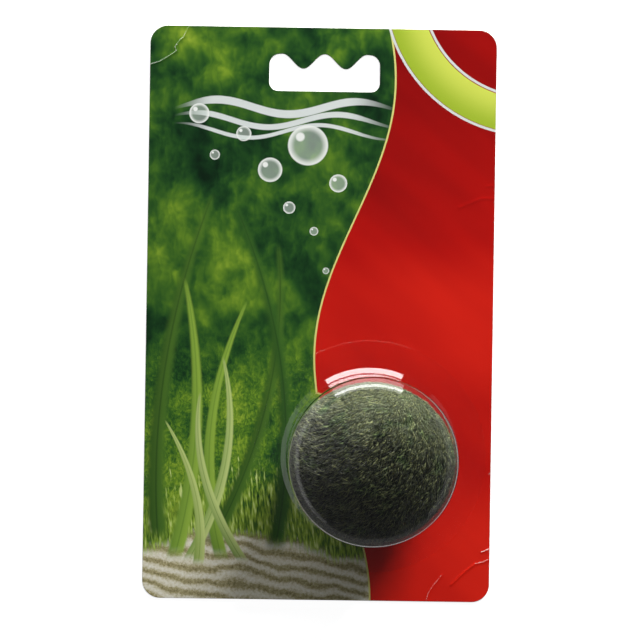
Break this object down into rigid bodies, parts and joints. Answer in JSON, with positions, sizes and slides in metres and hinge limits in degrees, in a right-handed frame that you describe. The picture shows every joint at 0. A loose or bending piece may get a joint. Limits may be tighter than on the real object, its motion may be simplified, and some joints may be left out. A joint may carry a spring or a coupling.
{
  "type": "marimo moss ball in a blister pack",
  "caption": "Soft round moss ball held in a clear round-shouldered blister on a printed card with a scalloped hang slot.",
  "frame": {"origin": "on the card's back, at the middle of its width and height", "axes": "the pack lies on its back; +X to the right and +Y up towards the hang slot as a shopper sees the front, +Z out of the card's front through the dome"},
  "size_m": [0.097, 0.16, 0.0463],
  "materials": {
    "printed_card": "gloss print on white board",
    "clear_sheet": "clear thermoformed sheet",
    "moss": "short matted fibres"
  },
  "bodies": {
    "root": {"card": "printed_card", "blister": "clear_sheet", "moss_ball": "moss"}
  },
  "joints": []
}
